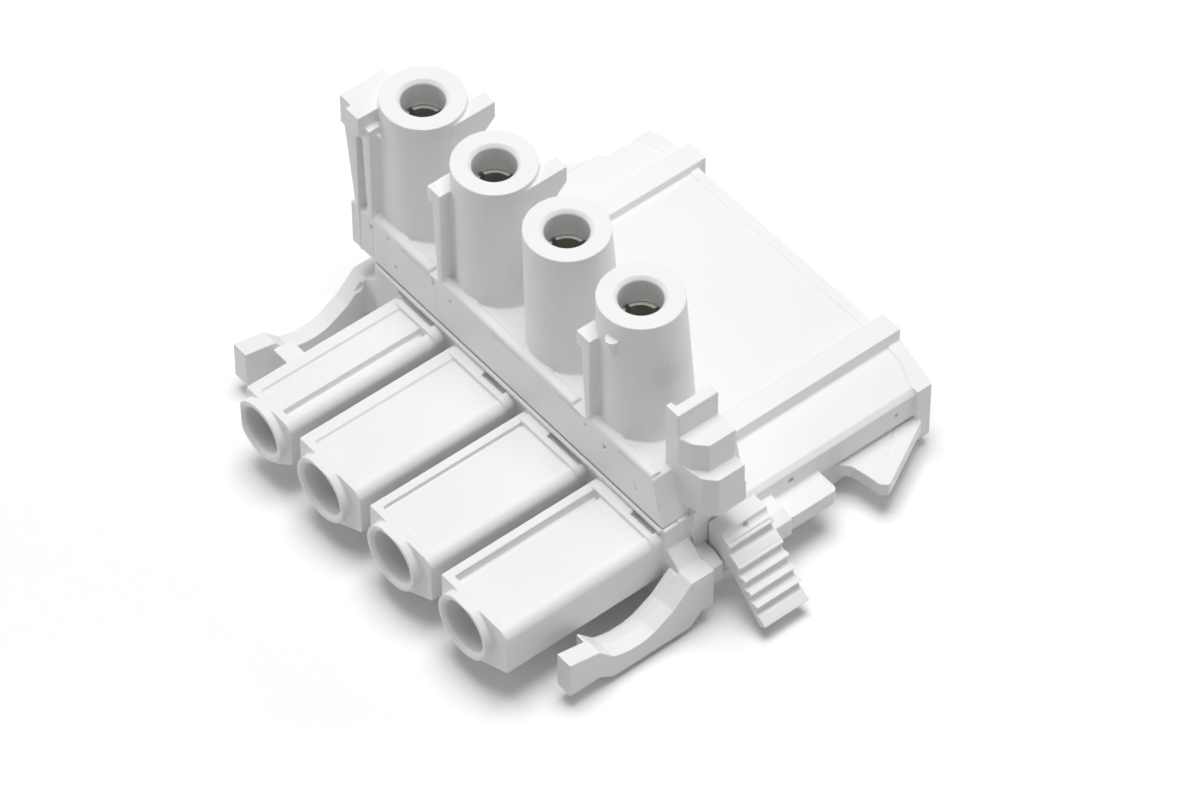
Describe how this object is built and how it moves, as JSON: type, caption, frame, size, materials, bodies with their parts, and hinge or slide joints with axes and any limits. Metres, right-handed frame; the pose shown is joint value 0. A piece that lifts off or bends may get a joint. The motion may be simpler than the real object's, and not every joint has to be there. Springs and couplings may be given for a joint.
{
  "type": "t-connector",
  "caption": "T-shaped cable connector: boxy front sockets, upright round sockets and a flat rear plug joined pole by pole, with hooked side arms and a ribbed release lever.",
  "frame": {"origin": "under the middle of the contact row, on the plane that the housing stands on", "axes": "+Y towards the rear plug, -Y towards the front sockets, +Z along the upright sockets"},
  "size_m": [0.0533, 0.0501, 0.0301],
  "materials": {
    "white_plastic": "fine satin moulded surface",
    "contact_metal": "drawn and lightly polished"
  },
  "bodies": {
    "connector": {"plug_housing": "white_plastic", "front_socket_block": "white_plastic", "upright_socket_block": "white_plastic", "busbar_1": "contact_metal", "busbar_2": "contact_metal", "busbar_3": "contact_metal", "busbar_4": "contact_metal", "plug_pin_1": "contact_metal", "plug_pin_2": "contact_metal", "plug_pin_3": "contact_metal", "plug_pin_4": "contact_metal", "front_contact_1": "contact_metal", "front_contact_2": "contact_metal", "front_contact_3": "contact_metal", "front_contact_4": "contact_metal", "upright_contact_1": "contact_metal", "upright_contact_2": "contact_metal", "upright_contact_3": "contact_metal", "upright_contact_4": "contact_metal"},
    "lever": {"release_lever": "white_plastic"}
  },
  "joints": [
    {"name": "lever_press", "type": "hinge", "parent": "connector", "child": "lever", "pos_m": [0.0217, 0.00245, 0.005], "axis": [0, 1, 0], "range_deg": [0, 8], "stiffness_Nm_per_rad": 0.002, "springref_deg": -17.19}
  ]
}
